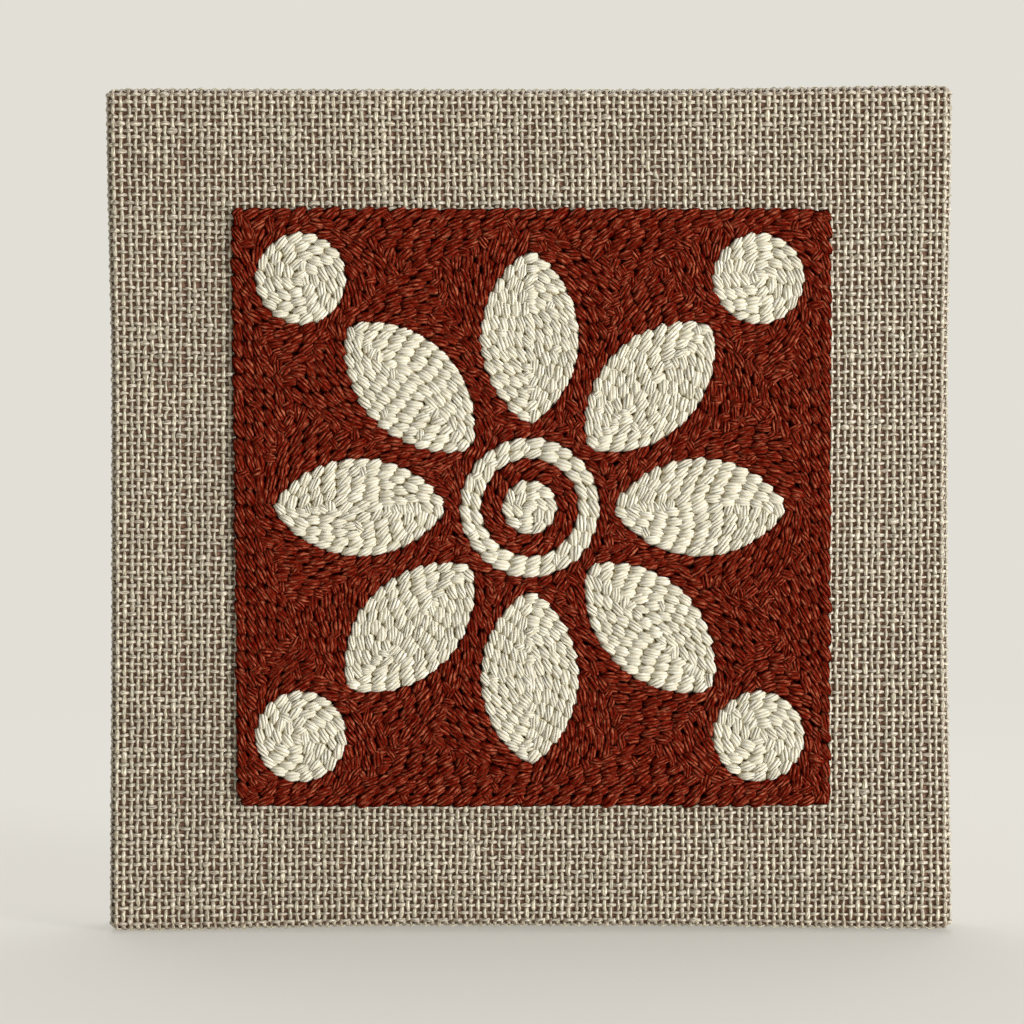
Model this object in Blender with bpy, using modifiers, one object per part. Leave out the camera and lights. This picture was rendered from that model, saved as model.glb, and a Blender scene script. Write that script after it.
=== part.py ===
"""Punch-needle panel on a frame: coarse linen stretched over four mitred wooden bars.

The middle of the cloth is filled with flat stitches of two thick yarns, an eight-petalled
rosette on a darker ground, and the loops of those stitches stand behind the cloth.
Metres, +Z up, the front faces -Y. The origin is the middle of the top bar's underside,
where the nail that carries the panel bears.
"""

import math

import bmesh
import bpy

# The wooden frame
FRAME_SIDE = 0.254
BAR_WIDTH = 0.032
BAR_DEPTH = 0.019
BAR_EASING = 0.001
CENTRE_Z = BAR_WIDTH - FRAME_SIDE / 2

# The clearance between two pieces that touch
GAP = 0.0003

# The linen, which turns over the frame's edge and back behind it
CLOTH = 0.001
EDGE_ROUND = 0.002
CORNER_ROUND = 0.0022
FOLD_ROUND = 0.0006
RETURN_WIDTH = 0.022
FLAT_MIDDLE = 0.045
SIDE_STEPS = 14
CORNER_STEPS = 4

# The stitched field, the relief of its yarn in front and of its loops behind
STITCH_THICKNESS = 0.0025
STITCH_EASING = 0.0007
STITCH_LENGTH = 0.0055
EDGE_RIPPLE = 0.0004
LOOP_HEIGHT = 0.006
LOOP_RIM_SHARE = 0.55
LOOP_LUMP = 0.0007
LOOP_CELLS = 22
PILE_TO_BAR = 0.004

# The field's corners, measured from the panel's middle: it was drawn by hand on the cloth
FIELD_CORNERS = (
    # across, up
    (-0.0912, 0.0914),
    (0.0920, 0.0912),
    (0.0918, -0.0911),
    (-0.0892, -0.0913),
)

# The rosette
PETALS = 8
PETAL_LENGTH = 0.054
PETAL_WIDTH = 0.030
PETAL_TIP = 0.0016
PETAL_MIDDLE = 0.052
EYE_RADIUS = 0.0085
RING_INNER = 0.0150
RING_OUTER = 0.0215
DISC_RADIUS = 0.0140
DISC_REACH = 0.0700
ROUND_STEPS = 28
SIDE_ARC_STEPS = 10
TIP_STEPS = 3

# How far the folded cloth at the corners stands out from the four edges
CORNER_SWELLS = (
    # edge, at its left or lower end, at its right or upper end
    ("left", 0.0004, 0.0016),
    ("right", 0.0011, 0.0012),
    ("top", 0.0002, 0.0011),
    ("bottom", 0.0014, 0.0009),
)
SWELL_START = 0.25
SWELL_FADE = 9


def clear_scene():
    for item in list(bpy.data.objects):
        bpy.data.objects.remove(item, do_unlink=True)


def new_collection(name):
    collection = bpy.data.collections.new(name)
    bpy.context.scene.collection.children.link(collection)
    return collection


def material(name, colour, roughness):
    made = bpy.data.materials.new(name)
    made.use_nodes = True
    shader = made.node_tree.nodes["Principled BSDF"]
    shader.inputs["Base Color"].default_value = (*colour, 1.0)
    shader.inputs["Roughness"].default_value = roughness
    shader.inputs["Metallic"].default_value = 0.0
    made.diffuse_color = (*colour, 1.0)
    return made


def add_object(name, mesh, collection, finish):
    made = bpy.data.objects.new(name, mesh)
    mesh.materials.append(finish)
    collection.objects.link(made)
    return made


def arc(across, up, radius, start, end, steps):
    """Points on an arc, in degrees from +X towards +Z, its last point left out."""
    angles = [math.radians(start + (end - start) * k / steps) for k in range(steps)]
    return [(across + radius * math.cos(a), up + radius * math.sin(a)) for a in angles]


def turned(points, degrees):
    c = math.cos(math.radians(degrees))
    s = math.sin(math.radians(degrees))
    return [(c * x - s * z, s * x + c * z) for x, z in points]


def round_outline(across, up, radius):
    return arc(across, up, radius, 0.0, 360.0, ROUND_STEPS)


def petal_outline(turn, grow=0.0):
    """A leaf shape of two long arcs with round tips, its length along the turned X axis."""
    half_length = PETAL_LENGTH / 2
    half_width = PETAL_WIDTH / 2
    bow = (half_length**2 + half_width**2) / (2 * half_width)
    drop = bow - half_width
    tip_reach = math.sqrt((bow - PETAL_TIP) ** 2 - drop**2)
    lean = math.degrees(math.atan2(drop, tip_reach))
    middle = PETAL_MIDDLE
    points = arc(middle, -drop, bow + grow, lean, 180 - lean, SIDE_ARC_STEPS)
    points += arc(
        middle - tip_reach, 0, PETAL_TIP + grow, 180 - lean, 180 + lean, TIP_STEPS
    )
    points += arc(middle, drop, bow + grow, 180 + lean, 360 - lean, SIDE_ARC_STEPS)
    points += arc(middle + tip_reach, 0, PETAL_TIP + grow, -lean, lean, TIP_STEPS)
    return turned(points, turn)


def field_outline():
    """The stitched field's edge, bulging at each stitch of its outermost row."""
    points = []
    for k, (x0, z0) in enumerate(FIELD_CORNERS):
        x1, z1 = FIELD_CORNERS[(k + 1) % len(FIELD_CORNERS)]
        length = math.hypot(x1 - x0, z1 - z0)
        count = 2 * round(length / STITCH_LENGTH)
        out_x = -(z1 - z0) / length
        out_z = (x1 - x0) / length
        for i in range(1, count):
            push = EDGE_RIPPLE if i % 2 else -EDGE_RIPPLE
            push += EDGE_RIPPLE * math.sin(0.9 * i + 2.1 * k)
            share = i / count
            points.append(
                (
                    x0 + (x1 - x0) * share + out_x * push,
                    z0 + (z1 - z0) * share + out_z * push,
                )
            )
    return points


def stitched_slab(name, outlines, collection, finish):
    """Flat stitches as one slab on the cloth, its edges eased; later outlines are holes."""
    curve = bpy.data.curves.new(name + "_outline", "CURVE")
    curve.dimensions = "2D"
    curve.fill_mode = "BOTH"
    curve.bevel_depth = STITCH_EASING
    curve.bevel_resolution = 0
    curve.extrude = STITCH_THICKNESS / 2 - STITCH_EASING
    curve.offset = -STITCH_EASING
    for points in outlines:
        spline = curve.splines.new("POLY")
        spline.points.add(len(points) - 1)
        spline.use_cyclic_u = True
        for point, (x, z) in zip(spline.points, points):
            point.co = (x, z, 0.0, 1.0)
    drawn = bpy.data.objects.new(name + "_outline", curve)
    middle_y = -(BAR_DEPTH / 2 + CLOTH + 2 * GAP + STITCH_THICKNESS / 2)
    drawn.location = (0.0, middle_y, CENTRE_Z)
    drawn.rotation_euler = (math.radians(90), 0.0, 0.0)
    collection.objects.link(drawn)
    graph = bpy.context.evaluated_depsgraph_get()
    mesh = bpy.data.meshes.new_from_object(drawn.evaluated_get(graph))
    mesh.name = name
    mesh.materials.clear()
    weld(mesh)
    made = add_object(name, mesh, collection, finish)
    made.matrix_world = drawn.matrix_world.copy()
    bpy.data.objects.remove(drawn, do_unlink=True)
    return made


def weld(mesh):
    shape = bmesh.new()
    shape.from_mesh(mesh)
    bmesh.ops.remove_doubles(shape, verts=shape.verts, dist=0.00001)
    bmesh.ops.recalc_face_normals(shape, faces=shape.faces)
    shape.to_mesh(mesh)
    shape.free()


def mitred_bar(name, turn, collection, finish):
    """One bar with its ends cut at 45 degrees, drawn as the top bar and turned into place."""
    shape = bmesh.new()
    bmesh.ops.create_cube(shape, size=1.0)
    mitre_gap = GAP / math.sqrt(2)
    for vert in shape.verts:
        inner = vert.co.z < 0
        reach = FRAME_SIDE / 2 - mitre_gap - (BAR_WIDTH if inner else 0.0)
        vert.co.x = math.copysign(reach, vert.co.x)
        vert.co.y *= BAR_DEPTH
        vert.co.z = FRAME_SIDE / 2 - (BAR_WIDTH if inner else 0.0)
    mesh = bpy.data.meshes.new(name)
    shape.to_mesh(mesh)
    shape.free()
    made = add_object(name, mesh, collection, finish)
    made.location = (0.0, 0.0, CENTRE_Z)
    made.rotation_euler = (0.0, math.radians(turn), 0.0)
    bevel = made.modifiers.new("eased edges", "BEVEL")
    bevel.width = BAR_EASING
    bevel.segments = 2
    return made


def swell(edge, along):
    """How far the cloth stands out from one edge, along running from -1 to 1."""
    _, low, high = next(row for row in CORNER_SWELLS if row[0] == edge)
    most = high if along > 0 else low
    share = max(0.0, (abs(along) - SWELL_START) / (1 - SWELL_START))
    return most * share * share * (3 - 2 * share)


def square_ring(half, rounding, depth, bulk):
    """One ring of the cloth round the frame; bulk is the share of the corners' folds."""
    straight = half - rounding
    points = []
    for quarter in range(4):
        side = []
        for k in range(SIDE_STEPS):
            along = math.sin(math.pi * (k / SIDE_STEPS - 0.5))
            side.append((half, straight * along))
        side += arc(straight, straight, rounding, 0.0, 90.0, CORNER_STEPS)
        points += turned(side, 90 * quarter)
    ring = []
    for x, z in points:
        beside = max(-1.0, min(1.0, x / half))
        above = max(-1.0, min(1.0, z / half))
        out_x = bulk * swell("right" if x > 0 else "left", above) * abs(beside) ** SWELL_FADE
        out_z = bulk * swell("top" if z > 0 else "bottom", beside) * abs(above) ** SWELL_FADE
        ring.append((x + math.copysign(out_x, x), depth, z + math.copysign(out_z, z)))
    return ring


def round_ring(radius, depth):
    """The innermost ring, a circle with as many points as the square ones."""
    square = square_ring(1.0, CORNER_ROUND, depth, 0.0)
    return [
        (radius * x / math.hypot(x, z), depth, radius * z / math.hypot(x, z))
        for x, _, z in square
    ]


def linen_cloth(collection, finish):
    """The stretched cloth as one closed skin: front, four edges and returns at the back."""
    front = -(BAR_DEPTH / 2 + GAP + CLOTH)
    back = -front
    outer = FRAME_SIDE / 2 + GAP + CLOTH
    inner = FRAME_SIDE / 2 + GAP
    ease = EDGE_ROUND * (1 - math.sqrt(0.5))
    hem = FRAME_SIDE / 2 - RETURN_WIDTH
    rings = [
        round_ring(FLAT_MIDDLE, front),
        square_ring(inner - BAR_WIDTH, CORNER_ROUND, front, 0.0),
        square_ring(outer - EDGE_ROUND, CORNER_ROUND, front, 1.0),
        square_ring(outer - ease, CORNER_ROUND, front + ease, 1.0),
        square_ring(outer, CORNER_ROUND, front + EDGE_ROUND, 1.0),
        square_ring(outer, CORNER_ROUND, back - EDGE_ROUND, 1.0),
        square_ring(outer - ease, CORNER_ROUND, back - ease, 1.0),
        square_ring(outer - EDGE_ROUND, CORNER_ROUND, back, 1.0),
        square_ring(hem, CORNER_ROUND, back, 0.0),
        square_ring(hem, CORNER_ROUND, back - CLOTH, 0.0),
        square_ring(inner - FOLD_ROUND, FOLD_ROUND, back - CLOTH, 0.0),
        square_ring(inner, FOLD_ROUND, back - CLOTH - FOLD_ROUND, 0.0),
        square_ring(inner, FOLD_ROUND, front + CLOTH + FOLD_ROUND, 0.0),
        square_ring(inner - FOLD_ROUND, FOLD_ROUND, front + CLOTH, 0.0),
        round_ring(FLAT_MIDDLE, front + CLOTH),
    ]
    shape = bmesh.new()
    loops = [[shape.verts.new(point) for point in ring] for ring in rings]
    for near, far in zip(loops, loops[1:]):
        for k in range(len(near)):
            after = (k + 1) % len(near)
            shape.faces.new((near[k], far[k], far[after], near[after]))
    shape.faces.new(loops[0])
    shape.faces.new(reversed(loops[-1]))
    bmesh.ops.recalc_face_normals(shape, faces=shape.faces)
    mesh = bpy.data.meshes.new("linen_cloth")
    shape.to_mesh(mesh)
    shape.free()
    made = add_object("linen_cloth", mesh, collection, finish)
    made.location = (0.0, 0.0, CENTRE_Z)
    return made


def loop_lump(x, z):
    """The uneven height of the loops behind the cloth."""
    coarse = math.sin(91 * x + 1.3) * math.cos(83 * z - 0.7)
    fine = math.sin(211 * x - 157 * z) * math.cos(187 * z + 97 * x + 0.5)
    return LOOP_LUMP * (0.6 * coarse + 0.4 * fine)


def loop_pile(collection, finish):
    """The loops of all the stitches, as one lumpy slab behind the cloth."""
    near = -(BAR_DEPTH / 2)
    half = FRAME_SIDE / 2 - BAR_WIDTH - PILE_TO_BAR
    shape = bmesh.new()
    made_grid = bmesh.ops.create_grid(
        shape, x_segments=LOOP_CELLS, y_segments=LOOP_CELLS, size=half
    )
    for vert in made_grid["verts"]:
        x, z = vert.co.x, vert.co.y
        rim = max(abs(x), abs(z)) > half - 0.0001
        height = LOOP_HEIGHT * (LOOP_RIM_SHARE if rim else 1.0) + loop_lump(x, z)
        if rim:
            x += LOOP_LUMP * math.sin(260 * z)
            z += LOOP_LUMP * math.sin(240 * x)
        vert.co = (x, near + height, z)
    lifted = bmesh.ops.extrude_face_region(shape, geom=list(shape.faces))
    for item in lifted["geom"]:
        if isinstance(item, bmesh.types.BMVert):
            item.co.y = near
    bmesh.ops.recalc_face_normals(shape, faces=shape.faces)
    mesh = bpy.data.meshes.new("loop_pile")
    shape.to_mesh(mesh)
    shape.free()
    made = add_object("loop_pile", mesh, collection, finish)
    made.location = (0.0, 0.0, CENTRE_Z)
    return made


def build():
    clear_scene()
    panel = new_collection("framed_punch_needle_panel")
    pine = material("pine", (0.62, 0.45, 0.27), 0.6)
    linen = material("natural_linen", (0.30, 0.24, 0.17), 0.9)
    rust = material("rust_yarn", (0.11, 0.011, 0.005), 0.85)
    cream = material("cream_yarn", (0.64, 0.59, 0.43), 0.8)

    for name, turn in (
        ("bar_top", 0),
        ("bar_right", 90),
        ("bar_bottom", 180),
        ("bar_left", 270),
    ):
        mitred_bar(name, turn, panel, pine)
    linen_cloth(panel, linen)
    loop_pile(panel, rust)

    turns = [90 - 360 * k / PETALS for k in range(PETALS)]
    corners = [
        (DISC_REACH, DISC_REACH),
        (DISC_REACH, -DISC_REACH),
        (-DISC_REACH, -DISC_REACH),
        (-DISC_REACH, DISC_REACH),
    ]
    ground = [field_outline(), round_outline(0, 0, RING_OUTER + GAP)]
    ground += [petal_outline(turn, GAP) for turn in turns]
    ground += [round_outline(x, z, DISC_RADIUS + GAP) for x, z in corners]
    stitched_slab("ground_stitches", ground, panel, rust)

    ring = [round_outline(0, 0, RING_OUTER), round_outline(0, 0, RING_INNER)]
    stitched_slab("ring_stitches", ring, panel, cream)
    band = [
        round_outline(0, 0, RING_INNER - GAP),
        round_outline(0, 0, EYE_RADIUS + GAP),
    ]
    stitched_slab("band_stitches", band, panel, rust)
    stitched_slab("eye_stitches", [round_outline(0, 0, EYE_RADIUS)], panel, cream)
    for k, turn in enumerate(turns, start=1):
        stitched_slab(f"petal_stitches_{k}", [petal_outline(turn)], panel, cream)
    for k, (x, z) in enumerate(corners, start=1):
        disc = [round_outline(x, z, DISC_RADIUS)]
        stitched_slab(f"disc_stitches_{k}", disc, panel, cream)


build()
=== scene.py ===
import math
import bpy
import mathutils
import numpy as np
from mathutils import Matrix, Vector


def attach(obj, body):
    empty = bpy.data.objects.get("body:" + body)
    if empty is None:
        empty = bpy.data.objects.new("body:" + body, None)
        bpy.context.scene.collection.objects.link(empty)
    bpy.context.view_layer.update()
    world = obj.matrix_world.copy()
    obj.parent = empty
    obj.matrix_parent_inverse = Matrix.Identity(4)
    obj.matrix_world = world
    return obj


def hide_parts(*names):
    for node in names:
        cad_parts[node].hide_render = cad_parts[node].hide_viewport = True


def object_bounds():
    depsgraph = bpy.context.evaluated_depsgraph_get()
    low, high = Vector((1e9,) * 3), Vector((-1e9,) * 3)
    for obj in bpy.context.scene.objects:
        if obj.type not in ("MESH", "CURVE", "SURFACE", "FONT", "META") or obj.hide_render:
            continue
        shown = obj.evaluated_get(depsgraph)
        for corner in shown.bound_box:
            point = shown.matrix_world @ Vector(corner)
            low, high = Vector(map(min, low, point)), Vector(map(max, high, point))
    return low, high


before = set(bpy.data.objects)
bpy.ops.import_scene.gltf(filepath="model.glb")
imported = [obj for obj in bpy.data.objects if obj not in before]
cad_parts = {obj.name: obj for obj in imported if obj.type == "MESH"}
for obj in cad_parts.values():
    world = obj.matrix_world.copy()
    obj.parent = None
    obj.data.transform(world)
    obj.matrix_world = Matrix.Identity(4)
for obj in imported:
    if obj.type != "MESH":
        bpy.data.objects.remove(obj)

cad_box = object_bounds()
MM = 0.001


# THE STRETCHER BARS
# Four mitred lengths of softwood, planed, with their long edges eased. They are the CAD's own
# solids, and the linen hides all of them but the inner part that shows behind.

def linear(hex_colour):
    """An sRGB hex colour as linear RGBA."""
    parts = [int(hex_colour[k:k + 2], 16) / 255 for k in (1, 3, 5)]
    return [p / 12.92 if p <= 0.04045 else ((p + 0.055) / 1.055) ** 2.4 for p in parts] + [1.0]


def add_node(tree, kind, inputs=None, **settings):
    """A node of that kind; each input is set to a value or linked from another node's output."""
    node = tree.nodes.new("ShaderNode" + kind)
    for name, value in settings.items():
        setattr(node, name, value)
    for name, value in (inputs or {}).items():
        if isinstance(value, bpy.types.NodeSocket):
            tree.links.new(value, node.inputs[name])
        else:
            node.inputs[name].default_value = value
    return node


def start_material(name):
    """A new material, its node tree and its shader."""
    material = bpy.data.materials.new(name)
    material.use_nodes = True
    tree = material.node_tree
    return material, tree, tree.nodes["Principled BSDF"]


def finish_surface(tree, shader, colour, relief, strength, height, roughness):
    """Give a shader its colour, the fine relief that only its shading shows, and its roughness."""
    bump = add_node(tree, "Bump", {"Height": relief, "Strength": strength, "Distance": height})
    tree.links.new(colour, shader.inputs["Base Color"])
    tree.links.new(bump.outputs[0], shader.inputs["Normal"])
    shader.inputs["Roughness"].default_value = roughness


def planed_pine(name, turn):
    """Pine, planed: pale, with darker latewood lines 3 mm apart along the bar and a dull sheen."""
    material, tree, shader = start_material(name)
    place = add_node(tree, "TexCoord").outputs["Object"]
    turned = add_node(tree, "Mapping", {"Vector": place, "Rotation": (0.0, turn, 0.0)}).outputs[0]
    grain = add_node(tree, "Mapping", {"Vector": turned, "Scale": (9.0, 330.0, 330.0)}).outputs[0]
    rings = add_node(tree, "TexNoise", {"Vector": grain, "Scale": 1.0, "Detail": 5.0,
                                        "Distortion": 0.5}).outputs[0]
    pores = add_node(tree, "TexNoise", {"Vector": grain, "Scale": 4.0, "Detail": 3.0}).outputs[0]
    late = add_node(tree, "MapRange", {"Value": rings, "From Min": 0.38, "From Max": 0.66}).outputs[0]
    wood = add_node(tree, "Mix", {0: late, 6: linear("#e3c89c"), 7: linear("#bd8e58")},
                    data_type="RGBA").outputs[2]
    finish_surface(tree, shader, wood, pores, 0.35, 0.2 * MM, 0.58)
    return material


pine_along = planed_pine("planed_pine_grain_across", 0.0)
pine_up = planed_pine("planed_pine_grain_up", math.pi / 2)
for bar, wood in (("bar_top", pine_along), ("bar_bottom", pine_along),
                  ("bar_left", pine_up), ("bar_right", pine_up)):
    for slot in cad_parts[bar].material_slots:
        slot.material = wood


# THE LINEN, THE CLOTH ITSELF
# One square of coarse, open, plain-woven linen, pulled over the bars, round their edges and 22 mm
# back behind them, and mitred there. This is its thin body; the threads are laid on it below.
PANEL_MIDDLE_Z = -95.0 * MM     # below the top bar's underside
EDGE_START = 126.3 * MM        # from the panel's middle to where the cloth starts to turn
BEND_CENTRE = 8.8 * MM         # of the turns at the front and the back, from the bars' middle
BODY_BEND = 1.15 * MM          # radius of the turn, on the cloth's body
THREAD_BEND = 1.7 * MM         # and at the middle of its threads
BODY_THICKNESS = 0.3 * MM
THREADS_APART = 2.15 * MM      # in the body's own woven pattern
HEM = 105.0 * MM               # from the panel's middle to the raw edge behind
CORNER_ROUND = 2.2 * MM        # the corner's radius on the edges
HEM_ROUND = 0.3 * MM           # and at the raw edge behind, where it is mitred
STITCHED_HALF = 88.0 * MM      # the part of the front that lies well under the stitches
STITCHED_ROUND = 2.0 * MM
# How far the folded layers push the cloth out at the two ends of each side, in mm, where that
# starts, and how fast it fades towards the middle of the front.
SWELLS = {"left": (0.4, 1.6), "right": (1.1, 1.2), "top": (0.2, 1.1), "bottom": (1.4, 0.9)}
SWELL_START, SWELL_FADE = 0.25, 9
# How far the cloth has run past the start of the turn where each stretch of it ends.
QUARTER_TURN = THREAD_BEND * math.pi / 2
ROUND_FRONT = QUARTER_TURN
DOWN_SIDE = ROUND_FRONT + 2 * BEND_CENTRE
ROUND_BACK = DOWN_SIDE + QUARTER_TURN
RETURN_LENGTH = EDGE_START - HEM
CLOTH_END = ROUND_BACK + RETURN_LENGTH


def over_the_edge(run, lift=0.0):
    """Where cloth lies that has run this far past the start of the turn, lifted off its body:
    distance out from the middle, depth, and the two parts of its outward normal."""
    radius = BODY_BEND + lift
    if run <= 0:
        return EDGE_START + run, -BEND_CENTRE - radius, 0.0, -1.0
    if run <= ROUND_FRONT:
        turn = run / THREAD_BEND
        lean, face = math.sin(turn), -math.cos(turn)
        return EDGE_START + radius * lean, -BEND_CENTRE + radius * face, lean, face
    if run <= DOWN_SIDE:
        return EDGE_START + radius, -BEND_CENTRE + run - ROUND_FRONT, 1.0, 0.0
    if run <= ROUND_BACK:
        turn = (run - DOWN_SIDE) / THREAD_BEND
        lean, face = math.cos(turn), math.sin(turn)
        return EDGE_START + radius * lean, BEND_CENTRE + radius * face, lean, face
    return EDGE_START + ROUND_BACK - run, BEND_CENTRE + radius, 0.0, 1.0


def swell(ends, along):
    """How far the folded corners push the cloth out, along running from -1 to 1."""
    share = np.clip((np.abs(along) - SWELL_START) / (1 - SWELL_START), 0, 1)
    return np.where(along > 0, ends[1], ends[0]) * MM * share * share * (3 - 2 * share)


def pushed_out(x, z, half, bulk=1.0):
    """Points of a square of that half width, moved out near the corners as the cloth is."""
    beside, above = np.clip(x / half, -1, 1), np.clip(z / half, -1, 1)
    sideways = np.where(x > 0, swell(SWELLS["right"], above), swell(SWELLS["left"], above))
    upward = np.where(z > 0, swell(SWELLS["top"], beside), swell(SWELLS["bottom"], beside))
    return (x + np.sign(x) * bulk * sideways * np.abs(beside) ** SWELL_FADE,
            z + np.sign(z) * bulk * upward * np.abs(above) ** SWELL_FADE)


def round_the_frame(out, rounding, marks_up, marks_across):
    """A closed line round the panel at that distance out, with a point at each mark and three at
    each corner. It gives x, z and the outward direction's two parts."""
    straight = out - rounding
    centre = straight * math.sqrt(2)
    line = []
    for quarter, marks in enumerate((marks_up, marks_across, marks_up, marks_across)):
        for mark in marks if quarter in (0, 3) else marks[::-1]:
            if abs(mark) <= straight + 0.001 * MM:
                line.append([(out, mark, 1, 0), (mark, out, 0, 1),
                             (-out, mark, -1, 0), (mark, -out, 0, -1)][quarter])
        middle = math.radians(45 + 90 * quarter)
        for step in (15, 45, 75):
            angle = math.radians(step + 90 * quarter)
            c, s = math.cos(angle), math.sin(angle)
            line.append((centre * math.cos(middle) + rounding * c,
                         centre * math.sin(middle) + rounding * s, c, s))
    return np.array(line, float)


def skin(name, material, points, corners, sizes, uv, tone=0.0, painted_shade_depth=0.0, sharp=None):
    """A smooth mesh object from arrays: points, the corners of all faces in one row, each face's number
    of corners, a UV for each corner, and for each point its yarn's tone and how far down between
    strands it lies, which the materials paint as shade. sharp(a, b) is true for the edges that stay
    creased."""
    mesh = bpy.data.meshes.new(name)
    mesh.vertices.add(len(points))
    mesh.vertices.foreach_set("co", np.ascontiguousarray(points, dtype=np.float32).ravel())
    mesh.loops.add(len(corners))
    mesh.loops.foreach_set("vertex_index", np.ascontiguousarray(corners, dtype=np.int32))
    mesh.polygons.add(len(sizes))
    starts = np.concatenate([[0], np.cumsum(sizes)[:-1]])
    mesh.polygons.foreach_set("loop_start", starts.astype(np.int32))
    mesh.update(calc_edges=True)
    mesh.shade_smooth()
    mesh.uv_layers.new(name="UVMap").data.foreach_set("uv", np.asarray(uv, np.float32).ravel())
    for mark, values in (("tone", tone), ("painted_shade_depth", painted_shade_depth)):
        values = np.full(len(points), values, np.float32)
        mesh.attributes.new(mark, "FLOAT", "POINT").data.foreach_set("value", values)
    if sharp is not None:
        ends = np.empty(2 * len(mesh.edges), np.int32)
        mesh.edges.foreach_get("vertices", ends)
        creased = sharp(ends[0::2], ends[1::2])
        mesh.attributes.new("sharp_edge", "BOOLEAN", "EDGE").data.foreach_set("value", creased)
    mesh.materials.append(material)
    piece = bpy.data.objects.new(name, mesh)
    bpy.context.scene.collection.objects.link(piece)
    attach(piece, "root")
    return piece


def linen_body(name, thread, hole_shade, sheen):
    """Linen, plain-woven from unbleached flax: threads 2.15 mm apart each way, with dark painted shade
    in the holes between them.
    """
    material, tree, shader = start_material(name)
    flat = add_node(tree, "UVMap").outputs[0]
    split = add_node(tree, "SeparateXYZ", {"Vector": flat})
    waves = []
    for axis in (0, 1):
        turns = add_node(tree, "Math", {0: split.outputs[axis], 1: math.pi / THREADS_APART},
                         operation="MULTIPLY").outputs[0]
        wave = add_node(tree, "Math", {0: turns}, operation="SINE").outputs[0]
        waves.append(add_node(tree, "Math", {0: wave}, operation="ABSOLUTE").outputs[0])
    weave = add_node(tree, "Math", {0: waves[0], 1: waves[1]}, operation="MAXIMUM").outputs[0]
    solid = add_node(tree, "MapRange", {"Value": weave, "From Min": 0.45, "From Max": 0.85}).outputs[0]
    slubs = add_node(tree, "TexNoise", {"Vector": flat, "Scale": 260.0, "Detail": 3.0}).outputs[0]
    threads = add_node(tree, "Math", {0: solid, 1: slubs}, operation="MULTIPLY").outputs[0]
    colour = add_node(tree, "Mix", {0: threads, 6: linear(hole_shade), 7: linear(thread)},
                      data_type="RGBA").outputs[2]
    finish_surface(tree, shader, colour, threads, 0.8, 0.4 * MM, 0.85)
    shader.inputs["Sheen Weight"].default_value = sheen
    return material


# The body is a band of rings: from under the stitches out over the edge to the raw edge behind, and
# back along its inner side, closed by one face at each end.
coarse_marks = np.sin(np.linspace(-0.5, 0.5, 15) * math.pi) * EDGE_START
edge_runs = (0.0, QUARTER_TURN / 2, ROUND_FRONT, DOWN_SIDE, DOWN_SIDE + QUARTER_TURN / 2, ROUND_BACK)
body_rings = [(STITCHED_HALF - EDGE_START, 0.0, STITCHED_ROUND, 0.0)]
body_rings += [(run, 0.0, CORNER_ROUND, 1.0) for run in edge_runs]
body_rings.append((CLOTH_END, 0.0, HEM_ROUND, 0.0))
body_rings += [(run, -BODY_THICKNESS, rounding, bulk) for run, _, rounding, bulk in body_rings[::-1]]
ring_points = []
for run, lift, rounding, bulk in body_rings:
    out, depth, _, _ = over_the_edge(run, lift)
    marks = coarse_marks * (out - rounding) / EDGE_START
    x, z, _, _ = round_the_frame(out, rounding, marks, marks).T
    x, z = pushed_out(x, z, out, bulk)
    ring_points.append(np.column_stack([x, np.full(len(x), depth), z + PANEL_MIDDLE_Z]))
around = len(ring_points[0])
rings = len(ring_points)
k = np.arange(around)
bands = [np.column_stack([r * around + k, (r + 1) * around + k, (r + 1) * around + (k + 1) % around,
                          r * around + (k + 1) % around]) for r in range(rings - 1)]
front_fill, back_fill = k, (rings - 1) * around + k[::-1]
body_points = np.vstack(ring_points)
body_corners = np.concatenate([np.concatenate(bands).ravel(), front_fill, back_fill])
body_sizes = np.array([4] * (around * (rings - 1)) + [around, around])
# The woven pattern lies by x and z, and down the frame's sides by the depth and one of them.
flat_x, flat_y, flat_z = body_points[body_corners].T
owner = np.repeat(np.arange(len(body_sizes)), body_sizes)
band_of = np.where(owner < around * (rings - 1), owner // around, -1)
side_of = np.abs(flat_x) > np.abs(flat_z - PANEL_MIDDLE_Z)
down_side = (band_of == 3) | (band_of == rings - 5)
body_uv = np.column_stack([np.where(down_side & side_of, flat_y, flat_x),
                           np.where(down_side & ~side_of, flat_y, flat_z)])
# Under the threads the body takes a darker copy of the weave: painted shade for what shows through the
# holes between them. The paler copy goes on the cloth's inner side and on the front under the stitches.
linen_in_shade = linen_body("linen_plain_weave_shaded_under_threads", "#9c7a62", "#7f5a47", 0.0)
linen_plain = linen_body("linen_plain_weave", "#b9a88a", "#4a3626", 0.2)
linen = skin("stretched_linen", linen_in_shade, body_points, body_corners, body_sizes, body_uv)
linen.data.materials.append(linen_plain)
inner_start = around * (rings // 2)
for face in linen.data.polygons:
    if face.index >= inner_start:
        face.material_index = 1
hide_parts("linen_cloth")


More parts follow.
